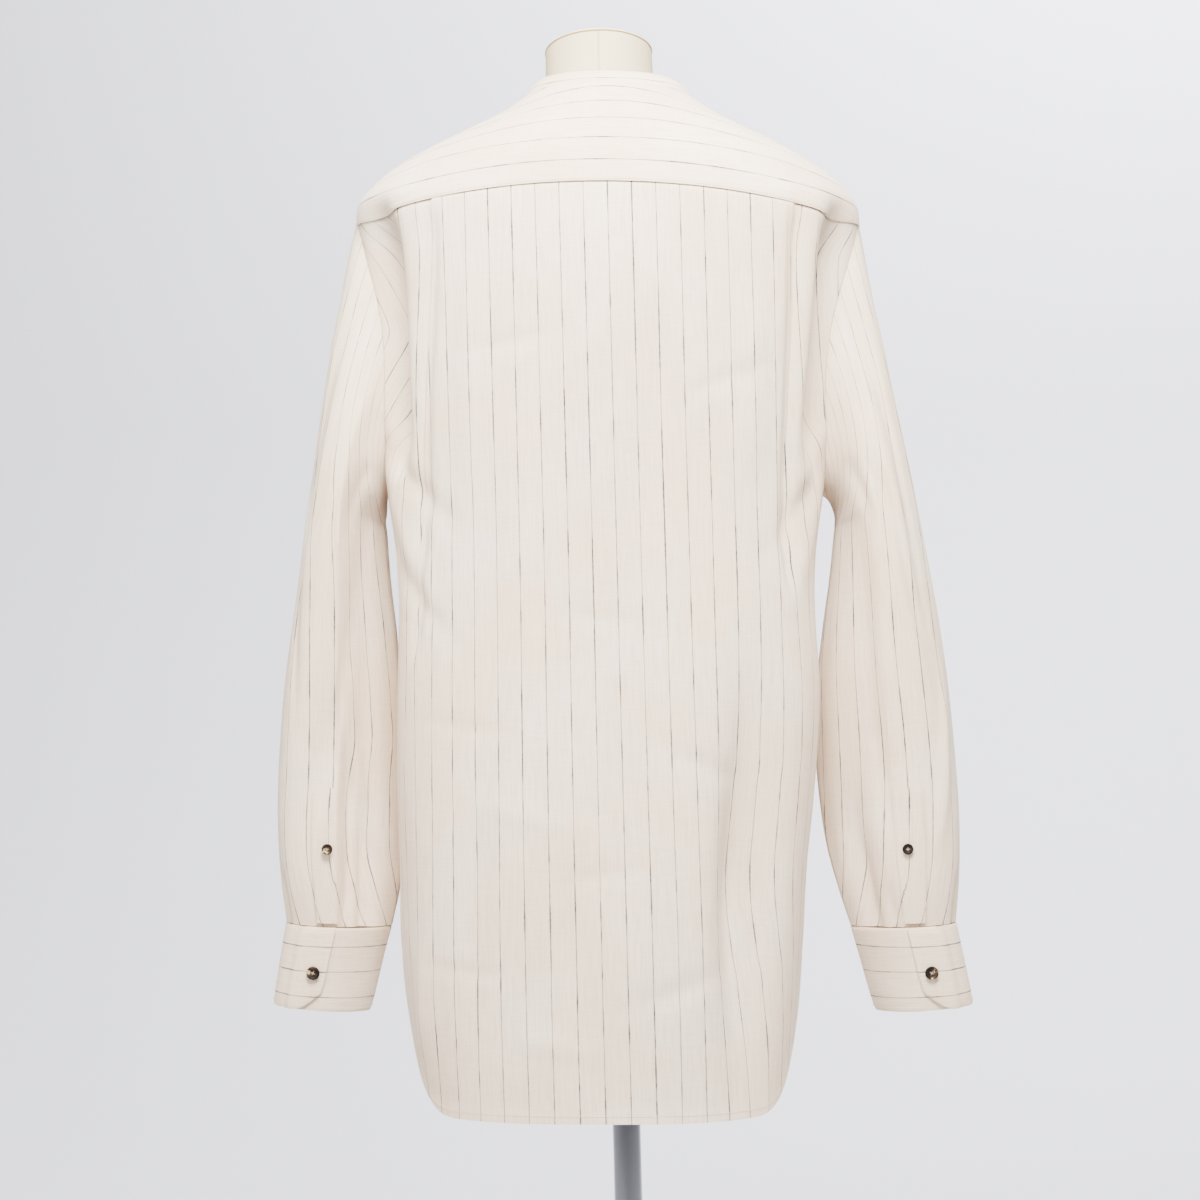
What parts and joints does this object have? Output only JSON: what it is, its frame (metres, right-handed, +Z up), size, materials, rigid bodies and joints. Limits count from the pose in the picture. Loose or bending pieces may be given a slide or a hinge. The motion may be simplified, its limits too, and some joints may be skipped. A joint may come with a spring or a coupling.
{
  "type": "long-sleeved band-collar shirt on a dress form",
  "caption": "Long-sleeved striped linen shirt with a band collar and a curved hem, buttoned up on a limbless dress form with a pole and a round base.",
  "frame": {"origin": "on the pole's axis, at the underside of the base", "axes": "+Z up, the shirt's front faces -Y and its back faces +Y, the wearer's left is +X"},
  "size_m": [0.5738, 0.32, 1.4814],
  "materials": {
    "linen": "slubby plain-weave linen, ivory with thin dark grey pinstripes",
    "horn": "mottled horn, polished",
    "cover": "smooth cream cotton cover",
    "chrome": "polished"
  },
  "bodies": {
    "root": {"back": "linen", "yoke": "linen", "front_left": "linen", "front_right": "linen", "front_band": "linen", "collar_band": "linen", "sleeve_left": "linen", "sleeve_right": "linen", "cuff_left": "linen", "cuff_right": "linen", "sleeve_placket_left": "linen", "sleeve_placket_right": "linen", "cuff_button_left": "horn", "cuff_button_right": "horn", "sleeve_button_left": "horn", "sleeve_button_right": "horn", "front_button_1": "horn", "front_button_2": "horn", "front_button_3": "horn", "front_button_4": "horn", "front_button_5": "horn", "front_button_6": "horn", "front_button_7": "horn", "collar_button": "horn", "form": "cover", "neck_cap": "cover", "pole": "chrome", "base": "chrome"}
  },
  "joints": []
}
